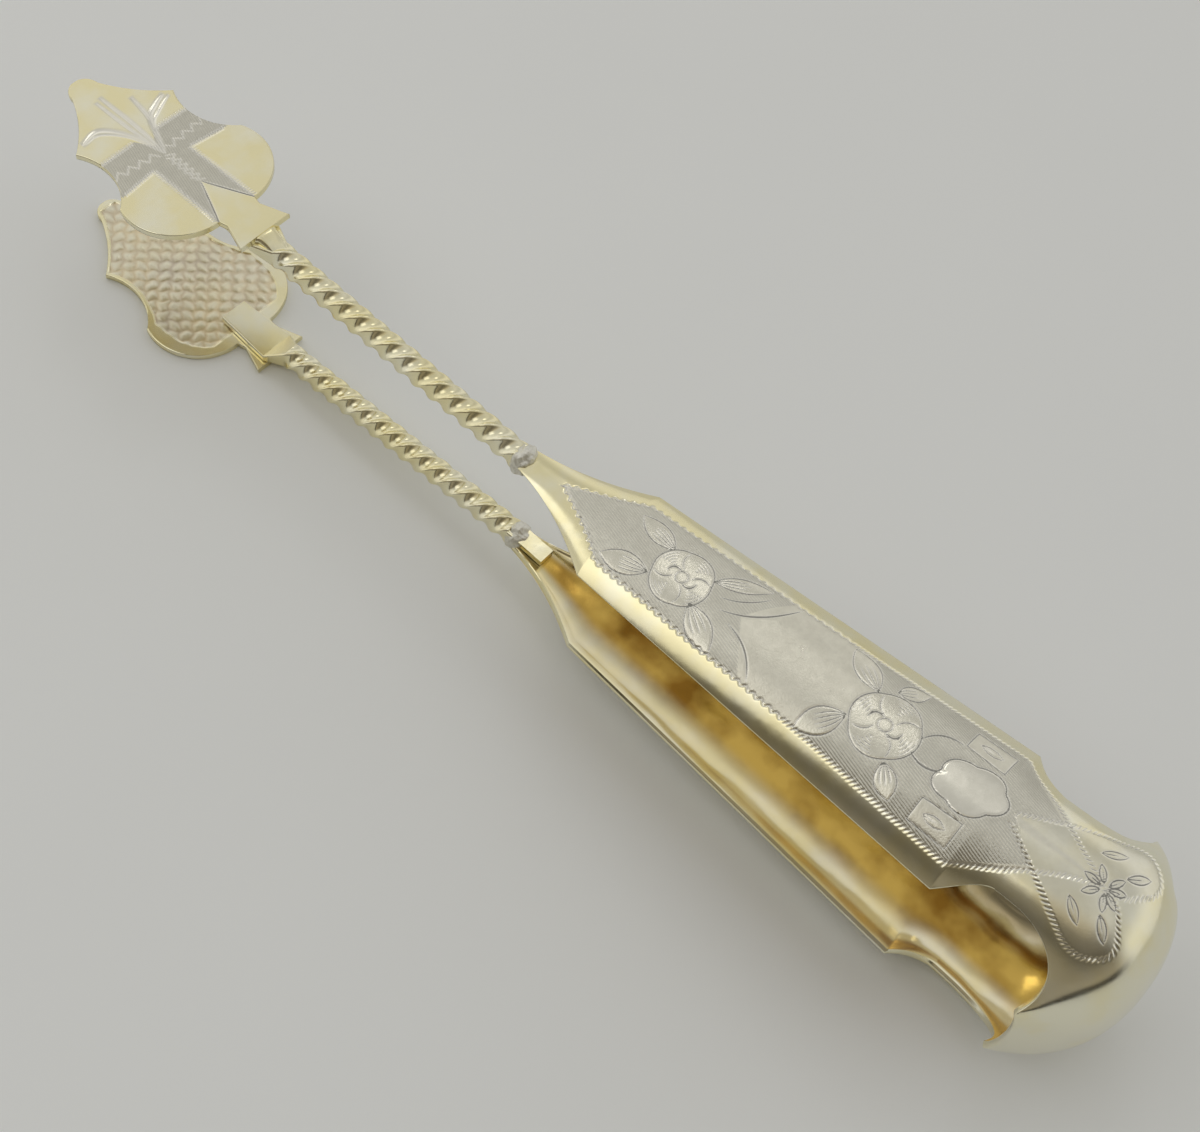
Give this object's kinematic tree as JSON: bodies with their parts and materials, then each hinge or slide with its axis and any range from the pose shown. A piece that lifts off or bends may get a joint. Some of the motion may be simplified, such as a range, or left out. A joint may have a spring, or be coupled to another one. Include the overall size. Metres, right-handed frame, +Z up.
{
  "type": "ice tongs",
  "caption": "U-shaped sprung ice tongs with a domed bow, channelled handles, twisted square shafts and flat leaf-shaped gripping blades.",
  "frame": {"origin": "centre of the bounding box's base: on the table, under the middle of the tongs as they lie", "axes": "+X from the blade tips towards the back of the bow, +Y across the arms, +Z up from the table through the lower arm to the upper arm"},
  "size_m": [0.179, 0.028, 0.0337],
  "materials": {
    "gilt_strip": "polished silver gilt, engraved fields left silver",
    "gilt_bar": "polished silver gilt",
    "gilt_blade": "satin silver gilt, engraved",
    "solder": "rough silver solder"
  },
  "bodies": {
    "bow": {"bow": "gilt_strip"},
    "upper_arm": {"upper_handle": "gilt_strip", "upper_shaft": "gilt_bar", "upper_blade": "gilt_blade", "upper_collar": "solder", "upper_bead": "solder"},
    "lower_arm": {"lower_handle": "gilt_strip", "lower_shaft": "gilt_bar", "lower_blade": "gilt_blade", "lower_collar": "solder", "lower_bead": "solder"}
  },
  "joints": [
    {"name": "upper_flex", "type": "hinge", "parent": "bow", "child": "upper_arm", "pos_m": [0.06945, 0, 0.03011], "axis": [0, -1, 0], "range_deg": [0, 4.2], "stiffness_Nm_per_rad": 5.5},
    {"name": "lower_flex", "type": "hinge", "parent": "bow", "child": "lower_arm", "pos_m": [0.07015, 0, 0.00333], "axis": [0, 1, 0], "range_deg": [0, 4.2], "stiffness_Nm_per_rad": 5.5}
  ]
}
